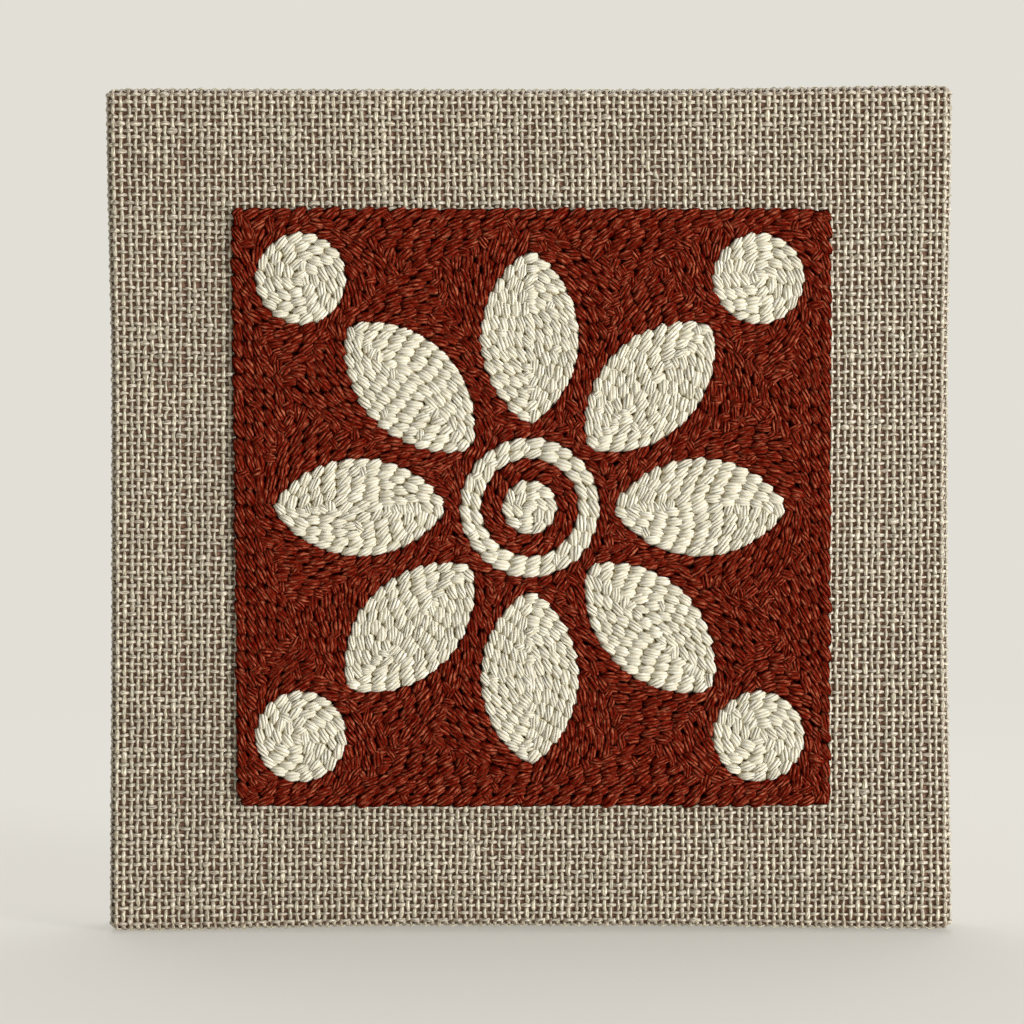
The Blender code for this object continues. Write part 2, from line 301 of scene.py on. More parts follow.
# THE LINEN, ITS THREADS
# Single flax threads, spun unevenly with slubs, each going over one and under the next. The warp is
# paler and pulled nearly straight, and the weft arches over it, with dark holes between them.
UPRIGHT_THREADS, CROSS_THREADS = 119, 117
PITCH_ACROSS = 2 * EDGE_START / (UPRIGHT_THREADS - 1)
PITCH_UP = 2 * EDGE_START / (CROSS_THREADS - 1)
THREAD_HALF_WIDTH, THREAD_HALF_HEIGHT = 0.56 * MM, 0.34 * MM
THREAD_LIFT = 0.55 * MM        # a thread's middle above the cloth's body
WARP_RISE, WEFT_RISE = 0.14 * MM, 0.58 * MM     # how far the two go up and down from there
EDGE_WEFT_RISE = 0.5 * MM      # and the weft round the edges, where it is pulled tighter
WARP_LEVEL, WEFT_LEVEL = 0.5, 0.36              # the share of the pitch that they lie level over
WARP_SIZE, WEFT_SIZE = 1.02, 0.98               # thickness beside the usual one
CROSSING_UNEVEN = 0.05 * MM    # how far a crossing lies out of place
FIBRE_SHIFT = 0.6 * MM         # from one side of a thread to the next, in its fibres' pattern
HIDDEN_HALF = 86.0 * MM        # threads end here, under the stitches
FOUR_SIDED = np.array([(-1.0, -0.1), (-0.5, 0.85), (0.5, 0.85), (1.0, -0.1)])
THREE_SIDED = np.array([(-1.0, -0.3), (0.0, 1.0), (1.0, -0.3)])
wind = np.random.default_rng(11)                # the unevenness of spinning and weaving


def spun_unevenly(count, spacing):
    """A handspun thread's thickness along its length: slow changes and a few slubs (waves and
    places in mm)."""
    place = np.arange(count) * spacing / MM
    thick = wind.normal(1.0, 0.1) + wind.normal(0, 0.1, count)
    for wave in (7.0, 13.0, 31.0):
        thick += 0.07 * np.sin(2 * math.pi * (place / wave + wind.random()))
    for _ in range(wind.poisson(place[-1] / 70.0)):
        middle, reach = wind.uniform(0, place[-1]), wind.uniform(1.2, 3.5)
        thick += wind.uniform(0.25, 0.65) * np.exp(-((place - middle) / reach) ** 2)
    return thick.clip(0.6, 1.8)


def spin_thread(points, normals, rise, thick, section, closed=False):
    """A thread: its section carried along a line that rises over and dips under, ends closed.
    It gives points, faces, UV, tone and how far each point has dipped."""
    points = points + normals * rise[:, None]
    ahead = np.roll(points, -1, axis=0) - np.roll(points, 1, axis=0)
    if not closed:
        ahead[0], ahead[-1] = points[1] - points[0], points[-1] - points[-2]
    ahead /= np.linalg.norm(ahead, axis=1)[:, None]
    aside = np.cross(ahead, normals)
    aside /= np.linalg.norm(aside, axis=1)[:, None]
    above = np.cross(aside, ahead)
    count, sides = len(points), len(section)
    wide = section[:, 0] * THREAD_HALF_WIDTH
    high = section[:, 1] * THREAD_HALF_HEIGHT
    body = (points[:, None, :] + aside[:, None, :] * wide[None, :, None] * thick[:, None, None]
            + above[:, None, :] * high[None, :, None] * (0.5 + 0.5 * thick)[:, None, None])
    here = np.arange(count if closed else count - 1)[:, None] * sides + np.arange(sides)[None, :]
    next_side = here - np.arange(sides) + (np.arange(sides) + 1) % sides
    total = count * sides
    faces = np.stack([here, next_side, (next_side + sides) % total, (here + sides) % total], axis=-1)
    faces = faces.reshape(-1, 4)
    run = np.concatenate([[0], np.cumsum(np.linalg.norm(np.diff(points, axis=0), axis=1))])
    step = np.arange(len(here))
    near, far = run[step], run[np.minimum(step + 1, count - 1)]
    across = np.arange(sides) * FIBRE_SHIFT
    uv = np.empty((len(here), sides, 4, 2))
    for corner, (along, shift) in enumerate(((near, 0), (near, 1), (far, 1), (far, 0))):
        uv[:, :, corner, 0] = along[:, None]
        uv[:, :, corner, 1] = across[None, :] + shift * FIBRE_SHIFT
    uv = uv.reshape(-1, 4, 2) + wind.random(2) * 0.4
    if not closed:
        ends = np.array([[3, 2, 1, 0], [total - 4, total - 3, total - 2, total - 1]])
        faces = np.vstack([faces, ends])
        uv = np.concatenate([uv, np.repeat(uv[:1], 2, axis=0)])
    # How far each point has dipped under the crossing thread, which its material paints as shade.
    dipped = np.repeat(0.5 - 0.5 * rise / np.abs(rise).max(), sides)
    tone = np.repeat(wind.uniform(0.2, 0.8) + wind.normal(0, 0.22, count), sides)
    return body.reshape(-1, 3), faces, uv, tone, dipped


def lay_threads(name, material, threads):
    """One piece of many threads; where a thread has no length it is None."""
    points, faces, uv, tone, dipped = zip(*filter(None, threads))
    starts = np.cumsum([0] + [len(body) for body in points[:-1]])
    faces = np.vstack([quads + start for quads, start in zip(faces, starts)])
    piece = skin(name, material, np.vstack(points), faces.ravel(), np.full(len(faces), 4),
                 np.vstack(uv), np.concatenate(tone), np.concatenate(dipped))
    return piece


def flax_thread(name, dark, light, dull, pale):
    """Flax, spun and left unbleached: grey-beige, with a silky glint along its twisted fibres."""
    material, tree, shader = start_material(name)
    flat = add_node(tree, "UVMap").outputs[0]
    tone = add_node(tree, "Attribute", attribute_name="tone").outputs["Fac"]
    stretched = add_node(tree, "Mapping", {"Vector": flat, "Rotation": (0.0, 0.0, 0.35),
                                           "Scale": (700.0, 3000.0, 1.0)}).outputs[0]
    fibres = add_node(tree, "TexNoise", {"Vector": stretched, "Scale": 1.0, "Detail": 3.0}).outputs[0]
    patches = add_node(tree, "TexNoise", {"Vector": flat, "Scale": 130.0, "Detail": 2.0}).outputs[0]
    streaks = add_node(tree, "MapRange", {"Value": fibres, "From Min": 0.4,
                                          "From Max": 0.62}).outputs[0]
    base = add_node(tree, "Mix", {0: streaks, 6: linear(dark), 7: linear(light)},
                    data_type="RGBA").outputs[2]
    grey = add_node(tree, "Mix", {0: patches, 6: linear(dull), 7: linear(pale)},
                    data_type="RGBA").outputs[2]
    mixed = add_node(tree, "Mix", {0: 0.3, 6: base, 7: grey}, data_type="RGBA").outputs[2]
    shade = add_node(tree, "MapRange", {"Value": tone, "To Min": 0.78, "To Max": 1.25}).outputs[0]
    toned = add_node(tree, "VectorMath", {0: mixed, "Scale": shade}, operation="SCALE").outputs[0]
    # Painted shade: where a thread dips under another, its colour is mixed towards the brown of the
    # shade between them.
    painted_shade_depth = add_node(tree, "Attribute", attribute_name="painted_shade_depth").outputs["Fac"]
    painted_shade_share = add_node(tree, "MapRange", {"Value": painted_shade_depth, "To Max": 0.5}).outputs[0]
    colour = add_node(tree, "Mix", {0: painted_shade_share, 6: toned, 7: linear("#76533a")},
                      data_type="RGBA").outputs[2]
    finish_surface(tree, shader, colour, fibres, 0.7, 0.12 * MM, 0.52)
    shader.inputs["Specular IOR Level"].default_value = 1.0
    return material


uprights = (np.arange(UPRIGHT_THREADS) - (UPRIGHT_THREADS - 1) / 2) * PITCH_ACROSS
crosses = (np.arange(CROSS_THREADS) - (CROSS_THREADS - 1) / 2) * PITCH_UP
grid_x, grid_z = np.meshgrid(uprights, crosses, indexing="ij")
# The threads drift in slow waves, as hand-pulled cloth does, and each leans a little out of true,
# but they are straight along the panel's edges. Drift and lean are in mm.
share_x, share_z = grid_x / EDGE_START, grid_z / EDGE_START
inside_x, inside_z = np.cos(share_x * math.pi / 2), np.cos(share_z * math.pi / 2)
drift_x = 0.8 * np.sin(2.6 * share_z + 0.5) + 0.25 * np.sin(6.1 * share_z - 1.0 + 2.0 * share_x)
drift_z = 0.7 * np.sin(2.2 * share_x - 0.9) + 0.25 * np.sin(5.3 * share_x + 0.4 + 2.3 * share_z)
lean_x = wind.normal(0, 0.12, (UPRIGHT_THREADS, 1)) + 0.15 * wind.normal(0, 1, grid_x.shape)
lean_z = wind.normal(0, 0.12, (1, CROSS_THREADS)) + 0.15 * wind.normal(0, 1, grid_z.shape)
cross_x = grid_x + MM * (drift_x * inside_x + lean_x * (inside_x > 0.05))
cross_z = grid_z + MM * (drift_z * inside_z + lean_z * (inside_z > 0.05))
cross_x, cross_z = pushed_out(cross_x, cross_z, EDGE_START + BODY_BEND)


def across_front(line_x, line_z, first_over, amount, level, size):
    """Threads on the front along a line of crossings, left out where the stitches hide them. Each
    has two points by a crossing, level over that share of the pitch, and rises by that amount."""
    covered = (np.abs(line_x) < HIDDEN_HALF) & (np.abs(line_z) < HIDDEN_HALF)
    runs = np.split(np.arange(len(line_x)), np.flatnonzero(np.diff(covered.astype(int))) + 1)
    threads = []
    for run in runs:
        if covered[run[0]] or len(run) < 2:
            continue
        count = 2 * len(run)
        place = np.repeat(run, 2) + np.tile((-level / 2, level / 2), len(run))
        crossing = np.arange(len(line_x))
        x = np.interp(place, crossing, line_x) + wind.normal(0, CROSSING_UNEVEN, count)
        z = np.interp(place, crossing, line_z) + wind.normal(0, CROSSING_UNEVEN, count)
        over = np.repeat(np.where((run + first_over) % 2 == 0, 1.0, -1.0), 2)
        rise = over * amount + wind.normal(0, CROSSING_UNEVEN, count)
        depth = np.full(count, -BEND_CENTRE - BODY_BEND - THREAD_LIFT)
        points = np.column_stack([x, depth, z + PANEL_MIDDLE_Z])
        normals = np.tile((0.0, -1.0, 0.0), (count, 1))
        thick = size * spun_unevenly(count, PITCH_UP / 2) * (1 + 0.1 * over)
        threads.append(spin_thread(points, normals, rise, thick, FOUR_SIDED))
    return threads


warp_flax = flax_thread("flax_thread_pale_warp", "#827554", "#fffbe6", "#9e9170", "#d6ccac")
weft_flax = flax_thread("flax_thread_grey_weft", "#786a52", "#f7efdb", "#94876d", "#cbc0a5")
warp, weft = [], []
for i in range(UPRIGHT_THREADS):
    warp += across_front(cross_x[i], cross_z[i], i, WARP_RISE, WARP_LEVEL, WARP_SIZE)
for j in range(CROSS_THREADS):
    weft += across_front(cross_x[:, j], cross_z[:, j], j + 1, WEFT_RISE, WEFT_LEVEL, WEFT_SIZE)
linen_threads = [lay_threads("linen_warp_front", warp_flax, warp),
                 lay_threads("linen_weft_front", weft_flax, weft)]

# Round the edges the same threads go on: those across the edge are bent over it, and those along
# it run round the panel in closed lines, which turn a mitred corner behind.
THREADS_DOWN_SIDE, THREADS_BEHIND = 11, 10
side_runs = np.arange(1, THREADS_DOWN_SIDE + 1) * PITCH_ACROSS
back_runs = side_runs[-1] + np.arange(1, THREADS_BEHIND + 1) * PITCH_ACROSS
SIDE_END = side_runs[-1] + PITCH_ACROSS / 2


def bulk_at(run):
    """The share of the corners' swelling at that run, which fades behind."""
    return float(np.clip(1 - (run - ROUND_BACK) / RETURN_LENGTH, 0, 1))


def rounding_at(run):
    """The corner's radius at that run: rounded on the edges, sharp at the raw edge behind."""
    return CORNER_ROUND * bulk_at(run) + HEM_ROUND * (1 - bulk_at(run))


def round_thread(run, number, section):
    """A thread that runs round the panel, over and under the threads that cross the edge."""
    out, depth, lean, face = over_the_edge(run, THREAD_LIFT)
    marks = [np.interp(np.arange(2 * len(m) - 1) / 2, np.arange(len(m)), m)
             for m in (crosses, uprights)]
    line = round_the_frame(out, rounding_at(run), *marks)
    x, z, side_x, side_z = line.T
    upright = np.abs(side_x) > 0.99
    crossing = np.where(upright, z / PITCH_UP + (CROSS_THREADS - 1) / 2,
                        x / PITCH_ACROSS + (UPRIGHT_THREADS - 1) / 2)
    straight = upright | (np.abs(side_z) > 0.99)
    high = np.where(upright, WARP_RISE, EDGE_WEFT_RISE)
    rise = np.where(straight, high * np.cos(math.pi * (crossing + number)), 0.0)
    x, z = pushed_out(x, z, out, bulk_at(run))
    normals = np.column_stack([side_x * lean, np.full(len(x), face), side_z * lean])
    points = np.column_stack([x, np.full(len(x), depth), z + PANEL_MIDDLE_Z])
    # Its two ends meet, so its thickness goes back to the first one there.
    thick = spun_unevenly(len(x), PITCH_UP / 2)
    blend = np.linspace(0, 1, len(x)) ** 8
    thick = thick * (1 - blend) + thick[0] * blend
    return spin_thread(points, normals, rise, thick, section, closed=True)


def bent_thread(mark, quarter, number, start, end):
    """A thread that crosses the edge at that mark, from one run to another or to the mitre."""
    end = min(end, EDGE_START + ROUND_BACK - abs(mark) + HEM_ROUND)
    if end < start + PITCH_ACROSS / 2:
        return None
    steps = np.append(np.arange(start, end - PITCH_ACROSS / 4, PITCH_ACROSS / 2), end)
    out, depth, lean, face = np.array([over_the_edge(run, THREAD_LIFT) for run in steps]).T
    bulks = np.array([bulk_at(run) for run in steps])
    side_x, side_z = ((1, 0), (0, 1), (-1, 0), (0, -1))[quarter]
    x = side_x * out + abs(side_z) * mark
    z = side_z * out + abs(side_x) * mark
    x, z = pushed_out(x, z, out, bulks)
    high = WARP_RISE if quarter % 2 else EDGE_WEFT_RISE
    rise = -high * np.cos(math.pi * (steps / PITCH_ACROSS + number))
    normals = np.column_stack([side_x * lean, face, side_z * lean])
    points = np.column_stack([x, depth, z + PANEL_MIDDLE_Z])
    return spin_thread(points, normals, rise, spun_unevenly(len(x), PITCH_UP / 2), FOUR_SIDED)


along_edges = [round_thread(run, k, FOUR_SIDED) for k, run in enumerate(side_runs)]
along_back = [round_thread(run, k, THREE_SIDED) for k, run in enumerate(back_runs, len(side_runs))]
over_edges, over_back = [], []
for quarter in range(4):
    for number, mark in enumerate(uprights if quarter % 2 else crosses):
        over_edges.append(bent_thread(mark, quarter, number, -PITCH_ACROSS / 4, SIDE_END))
        over_back.append(bent_thread(mark, quarter, number, SIDE_END - PITCH_ACROSS / 2, CLOTH_END))
linen_threads.append(lay_threads("linen_threads_along_edges", warp_flax, along_edges))
linen_threads.append(lay_threads("linen_threads_over_edges", weft_flax, over_edges))
linen_threads.append(lay_threads("linen_threads_behind", warp_flax, along_back + over_back))


# THE STITCHES, HOW THEY LIE
# Flat punch-needle stitches, each 5 to 6 mm long, in rows that follow the outline of their figure
# and close in on its middle. Where rows meet, odd stitches are put in until no cloth shows.
FIELD_CORNERS = np.array([(-91.2, 91.4), (92.0, 91.2), (91.8, -91.1), (-89.2, -91.3)]) * MM
PETALS, PETAL_LENGTH, PETAL_WIDTH, PETAL_MIDDLE = 8, 54 * MM, 30 * MM, 52 * MM
EYE_RADIUS, RING_INNER, RING_OUTER = 8.5 * MM, 15 * MM, 21.5 * MM
DISC_RADIUS, DISC_REACH = 14 * MM, 70 * MM
STITCH_PITCH = 5.0 * MM        # from hole to hole
STITCH_LENGTH = 6.5 * MM       # for that pitch: the ends lie beside those of the next stitch
COVER_WIDTH = 2.85 * MM        # of cloth that a stitch surely covers
SLANT = 11.0                   # degrees by which a stitch turns out of its row
GRID_HALF, CELL = 94 * MM, 0.25 * MM    # the grid on which the rows are worked out
MOST_TAKEN = 0.38              # the share of a stitch that may lie on others
SHORT_STITCHES = (5.2 * MM, 4.2 * MM, 3.4 * MM)     # tried where a bare spot is filled in
BARE_REACH = 1.3 * MM          # half the width of the spot that is looked at
LEAST_BARE = 0.46              # the bare share of it that gets a stitch
BARE_INSIDE, END_INSIDE = 0.4 * MM, 0.35 * MM       # from the outline to such spots, and to ends
SPREAD = 1.4 * MM              # the most room beside a stitch that its yarn feels out
work = np.random.default_rng(7)                     # the unevenness of the hand and the needle

axis = np.arange(-GRID_HALF, GRID_HALF + CELL / 2, CELL)
across, up = np.meshgrid(axis, axis)


def outside_round(x, z, radius):
    """Distance from a round outline, negative inside it."""
    return np.hypot(across - x, up - z) - radius


def outside_petal(turn):
    """Distance from a petal's outline, which is two arcs, negative inside it."""
    c, s = math.cos(math.radians(turn)), math.sin(math.radians(turn))
    along = c * across + s * up - PETAL_MIDDLE
    aside = np.abs(c * up - s * across)
    half_length, half_width = PETAL_LENGTH / 2, PETAL_WIDTH / 2
    drop = (half_length ** 2 - half_width ** 2) / (2 * half_width)
    to_arc = np.hypot(along, aside + drop) - drop - half_width
    past_tip = np.abs(along) * drop > (aside + drop) * half_length
    to_tip = np.hypot(np.abs(along) - half_length, aside)
    return np.where(past_tip & (to_arc > 0), to_tip, to_arc)


def inside_field():
    """Distance from the stitched square's outline, positive inside it."""
    least = np.full(across.shape, 1.0)
    for (x0, z0), (x1, z1) in zip(FIELD_CORNERS, np.roll(FIELD_CORNERS, -1, axis=0)):
        length = math.hypot(x1 - x0, z1 - z0)
        least = np.minimum(least, ((across - x0) * (z1 - z0) - (up - z0) * (x1 - x0)) / length)
    return least


# Which two sides of a grid cell a row crosses, by which of the cell's corners lie above it.
CELL_CROSSINGS = {1: ((3, 0),), 2: ((0, 1),), 3: ((3, 1),), 4: ((1, 2),), 5: ((3, 0), (1, 2)),
                  6: ((0, 2),), 7: ((3, 2),), 8: ((2, 3),), 9: ((2, 0),), 10: ((0, 1), (2, 3)),
                  11: ((2, 1),), 12: ((1, 3),), 13: ((1, 0),), 14: ((0, 3),)}


def rows_at(depth, level):
    """The lines on which depth has that level, each as a row of points."""
    over = depth > level
    case = over[:-1, :-1] + 2 * over[:-1, 1:] + 4 * over[1:, 1:] + 8 * over[1:, :-1]
    links = {}
    for i, j in np.argwhere((case > 0) & (case < 15)).tolist():
        sides = ((i, j, 0), (i, j + 1, 1), (i + 1, j, 0), (i, j, 1))
        for a, b in CELL_CROSSINGS[int(case[i, j])]:
            links.setdefault(sides[a], []).append(sides[b])
            links.setdefault(sides[b], []).append(sides[a])
    rows, seen = [], set()
    for start in sorted(links, key=lambda side: (len(links[side]), side)):
        if start in seen:
            continue
        line, here = [start], start
        seen.add(start)
        while True:
            ahead = [side for side in links[here] if side not in seen]
            if not ahead:
                break
            here = ahead[0]
            seen.add(here)
            line.append(here)
        points = []
        for i, j, upright in line:
            low, high = depth[i, j], depth[i + 1, j] if upright else depth[i, j + 1]
            share = (level - low) / (high - low) * CELL
            points.append((axis[j] + share * (not upright), axis[i] + share * upright))
        if len(line) > 2 and start in links[here]:
            points.append(points[0])
        rows.append(np.array(points))
    return rows


def stitches_along(line, size):
    """Stitches end to end along a row: middle, direction and length of each."""
    run = np.concatenate([[0], np.cumsum(np.hypot(*np.diff(line, axis=0).T))])
    closed = np.allclose(line[0], line[-1])
    count = max(1, round(run[-1] / STITCH_PITCH / size))
    pitch = run[-1] / count
    start = work.uniform(0, pitch)
    made = []
    for k in range(count):
        middle = start + k * pitch + work.normal(0, 0.06) * pitch if closed else (k + 0.5) * pitch
        ends = []
        for at in (middle - pitch / 2, middle + pitch / 2):
            at = at % run[-1] if closed else min(max(at, 0), run[-1])
            ends.append((np.interp(at, run, line[:, 0]), np.interp(at, run, line[:, 1])))
        (x0, z0), (x1, z1) = ends
        length = math.hypot(x1 - x0, z1 - z0)
        if length > 0.4 * pitch:
            made.append(((x0 + x1) / 2, (z0 + z1) / 2, math.atan2(z1 - z0, x1 - x0), length))
    return made


def under_stitch(x, z, angle, length, width):
    """The window of the grid round a stitch, and which of its cells the stitch covers."""
    reach = (length + width) / 2
    j0, j1 = np.searchsorted(axis, (x - reach, x + reach))
    i0, i1 = np.searchsorted(axis, (z - reach, z + reach))
    a, b = across[i0:i1, j0:j1] - x, up[i0:i1, j0:j1] - z
    along = a * math.cos(angle) + b * math.sin(angle)
    aside = b * math.cos(angle) - a * math.sin(angle)
    past = np.maximum(np.abs(along) - (length - width) / 2, 0)
    return (slice(i0, i1), slice(j0, j1)), np.hypot(past, aside) < width / 2


def most_bare(bare):
    """The spot with the most bare cloth round it, and the share of it that is bare."""
    reach = int(BARE_REACH / CELL)
    size = 2 * reach + 1
    total = np.pad(bare.astype(float), reach + 1).cumsum(0).cumsum(1)
    share = (total[size:, size:] - total[:-size, size:] - total[size:, :-size] + total[:-size, :-size])
    share = share[:bare.shape[0], :bare.shape[1]] / size ** 2
    i, j = np.unravel_index(np.argmax(share), share.shape)
    return i, j, share[i, j]


def cells_at(x, z):
    """The grid cells at those places."""
    return tuple(np.clip(np.round((v - axis[0]) / CELL).astype(int), 0, len(axis) - 1) for v in (z, x))


def pulled_flat(placed, taken, depth, size):
    """Stitches as the yarn makes them: turned by its slant, their ends kept inside the figure, and
    spread into the room beside them. It gives middle, direction, length and width."""
    x, z, angle, length = np.array(placed).T
    count, width = len(x), size * COVER_WIDTH
    angle = angle + np.radians(work.normal(SLANT, 5, count))
    c, s = np.cos(angle), np.sin(angle)
    pull = work.normal(1.0, 0.04, count)
    half = STITCH_LENGTH / 2 * (0.15 * size + 0.85 * length / STITCH_PITCH * pull)
    ends = []
    for way in (-1, 1):
        reach = way * half * np.linspace(1.0, 0.3, 29)[:, None]
        inside = depth[cells_at(x + c * reach, z + s * reach)] > END_INSIDE
        inside[-1] = True
        ends.append(reach[np.argmax(inside, axis=0), np.arange(count)])
    half, middle = (ends[1] - ends[0]) / 2, (ends[1] + ends[0]) / 2
    x, z = x + c * middle, z + s * middle
    along = half * np.array([-0.45, 0.0, 0.45])[:, None, None]
    steps = np.arange(width / 2, width / 2 + SPREAD, CELL)[:, None]
    room = []
    for way in (-1, 1):
        where = cells_at(x + c * along - s * way * steps, z + s * along + c * way * steps)
        others = (taken[where] >= 0) & (taken[where] != np.arange(count))
        met = others | (depth[where] < 0.1 * MM)
        room.append(np.where(met.any(axis=1), met.argmax(axis=1), len(steps)).mean(axis=0) * CELL)
    shift = (room[1] - room[0]) / 4
    return np.column_stack([x - s * shift, z + c * shift, angle, 2 * half,
                            width + (room[0] + room[1]) / 2])


def work_figure(depth, pitch, size):
    """All stitches of a figure: its rows from the outline inwards, then those that fill in."""
    taken = np.full(across.shape, -1)
    placed = []
    level = pitch / 2
    while level < depth.max():
        for line in rows_at(depth, level):
            if len(line) < 6:
                continue
            row = stitches_along(line, size)
            own = []
            for number, (x, z, angle, length) in enumerate(row):
                where, mask = under_stitch(x, z, angle, length, size * COVER_WIDTH)
                labels = taken[where][mask]
                beside = own[-1:] + (own[:1] if number == len(row) - 1 else [])
                if ((labels >= 0) & ~np.isin(labels, beside)).mean() > MOST_TAKEN:
                    continue
                taken[where][mask] = len(placed)
                own.append(len(placed))
                placed.append((x, z, angle, length))
        level += pitch
    inside = depth > BARE_INSIDE
    while True:
        i, j, share = most_bare(inside & (taken < 0))
        if share < LEAST_BARE:
            return pulled_flat(placed, taken, depth, size)
        best = (-math.inf, 0, 0)
        for length in SHORT_STITCHES:
            length = length * size
            for angle in np.linspace(0, math.pi, 16, endpoint=False):
                where, mask = under_stitch(axis[j], axis[i], angle, length, size * COVER_WIDTH)
                free = (taken[where][mask] < 0) & inside[where][mask]
                best = max(best, (free.sum() - 0.9 * (~free).sum(), angle, length))
        _, angle, length = best
        where, mask = under_stitch(axis[j], axis[i], angle, length, size * COVER_WIDTH)
        taken[where][mask] = len(placed)
        placed.append((axis[j], axis[i], angle, length))


# THE STITCHES, ONE OF THEM
# A thick wool yarn, loosely plied, pulled flat on the cloth between two holes. Three of its strands
# show side by side; they cross it at a slant, and dive into the cloth together at both ends.
CLOTH_TOP = 10.75 * MM         # the cloth's face, in front of the bars' middle plane
HALF_WIDTH = 1.7 * MM
CROWN, SHOULDER = 2.6 * MM, 0.6 * MM    # height of the yarn over the cloth, and of its sides
FOOT = -0.1 * MM               # the yarn's underside and its ends sink that far into the cloth
GROOVE_DEPTH = 0.62 * MM
PLY_SHIFT = 1.05 * MM          # how far the strands cross the yarn from its middle to its end
STRAND_APART, STRAND_TOP = 1.08 * MM, 0.46 * MM     # strand to strand, and the flat of each
# How uneven the yarn is: its ply, its strands across and in height, each line, and the ends.
PLY_SPREAD, STRAND_SPREAD, STRAND_HIGHER = 0.3 * MM, 0.12 * MM, 0.1 * MM
LINE_SPREAD, END_SPREAD = 0.06 * MM, 0.18 * MM
# Along a stitch, as shares of its half length, its width and its height.
STATIONS = [(-1.0, 0.62, 0.25), (-0.66, 0.88, 0.86), (0.0, 1.0, 1.0), (0.66, 0.88, 0.86),
            (1.0, 0.62, 0.25)]
# Going round the yarn: what that line is, which strand it belongs to, and where it lies across.
ROUND_YARN = [("foot", 1, 0.0), ("side", 2, HALF_WIDTH)]
for strand in (2, 1, 0):
    middle = (strand - 1) * STRAND_APART
    ROUND_YARN += [("ridge", strand, middle + side * STRAND_TOP / 2) for side in (1, -1)]
    if strand:
        ROUND_YARN.append(("groove", strand, middle - STRAND_APART / 2))
ROUND_YARN.append(("side", 0, -HALF_WIDTH))

# One cylinder with cuts at the stations gives the faces; each point then gets its line and station.
bpy.ops.object.select_all(action="DESELECT")
bpy.ops.mesh.primitive_cylinder_add(vertices=len(ROUND_YARN), radius=1.0, depth=2.0,
                                    rotation=(0.0, math.pi / 2, 0.0))
bpy.ops.object.transform_apply(location=True, rotation=True, scale=True)
stitch_form = bpy.context.object
bpy.ops.object.mode_set(mode="EDIT")
for share, _, _ in STATIONS[1:-1]:
    bpy.ops.mesh.select_all(action="SELECT")
    bpy.ops.mesh.bisect(plane_co=(share, 0.0, 0.0), plane_no=(1.0, 0.0, 0.0))
bpy.ops.object.mode_set(mode="OBJECT")
turned = [math.atan2(v.co.z, v.co.y) for v in stitch_form.data.vertices]
first = min(turned, key=lambda angle: abs(angle + math.pi / 2))
line_of = np.array([round((angle - first) / (2 * math.pi) * len(ROUND_YARN)) % len(ROUND_YARN)
                    for angle in turned])
part_of = np.array([ROUND_YARN[line][0] for line in line_of])
strand_of = np.array([ROUND_YARN[line][1] for line in line_of])
line_across = np.array([ROUND_YARN[line][2] for line in line_of])
share_of, wide_of, high_of = np.array([min(STATIONS, key=lambda station: abs(station[0] - v.co.x))
                                       for v in stitch_form.data.vertices]).T
form_sizes = np.array([f.loop_total for f in stitch_form.data.polygons])
form_corners = np.array([v for f in stitch_form.data.polygons for v in f.vertices])
form_uv = []
for face in stitch_form.data.polygons:
    wraps = max(line_of[face.vertices]) - min(line_of[face.vertices]) > 2 and face.loop_total == 4
    for v in face.vertices:
        line = line_of[v] + len(ROUND_YARN) * (wraps and line_of[v] == 0)
        form_uv.append((share_of[v] * STITCH_LENGTH / 2, line * 0.4 * MM))
form_uv = np.array(form_uv)
bpy.data.objects.remove(stitch_form)
slides = np.isin(part_of, ("ridge", "groove"))
# The strands can slide this far to either side, in their order, so that no two lines fall together.
slide_up = HALF_WIDTH * (0.94 - 0.015 * (line_of - 2))
slide_down = -HALF_WIDTH * (0.94 - 0.015 * (len(ROUND_YARN) - 2 - line_of))
grooves = np.where(part_of == "groove", line_of, 0)
# How deep a point lies between strands or stitches, for the painted shade there: least on a ridge, most
# at the sides and ends.
form_painted_shade = np.select([part_of == "ridge", part_of == "groove"], [0.0, 0.78], 1.0)
form_painted_shade = np.maximum(form_painted_shade, 1.1 * (1 - high_of))


def in_groove(a, b):
    """True for the edges that run along a groove between two strands."""
    a, b = grooves[a % len(grooves)], grooves[b % len(grooves)]
    return (a > 0) & (a == b)


def laid_stitches(count):
    """That many stitches side by side, no two alike: along the yarn, across it, and height."""
    shift = work.normal(PLY_SHIFT, PLY_SPREAD, (count, 1))
    loose = work.normal(0, STRAND_SPREAD, (count, 3))[:, strand_of]
    wobble = work.normal(0, LINE_SPREAD, (count, len(line_of)))
    aside = line_across + slides * (shift * share_of + loose + wobble)
    aside = np.where(slides, aside.clip(slide_down, slide_up), aside)
    share_aside = (np.abs(aside) / HALF_WIDTH / 1.03).clip(0, 1)
    crown = SHOULDER + (CROWN - SHOULDER) * np.sqrt(1 - share_aside ** 3)
    depth = GROOVE_DEPTH * work.uniform(0.6, 1.2, (count, 1))
    height = np.select([part_of == "foot", part_of == "side", part_of == "groove"],
                       [FOOT, SHOULDER, crown - depth], crown)
    higher = work.normal(0, STRAND_HIGHER, (count, 3)).clip(-0.2 * MM, 0.12 * MM)[:, strand_of]
    height = height + slides * higher
    ragged = (np.abs(share_of) > 0.99) * work.normal(0, END_SPREAD, (count, len(line_of)))
    return share_of * STITCH_LENGTH / 2 + ragged, aside * wide_of, FOOT + (height - FOOT) * high_of


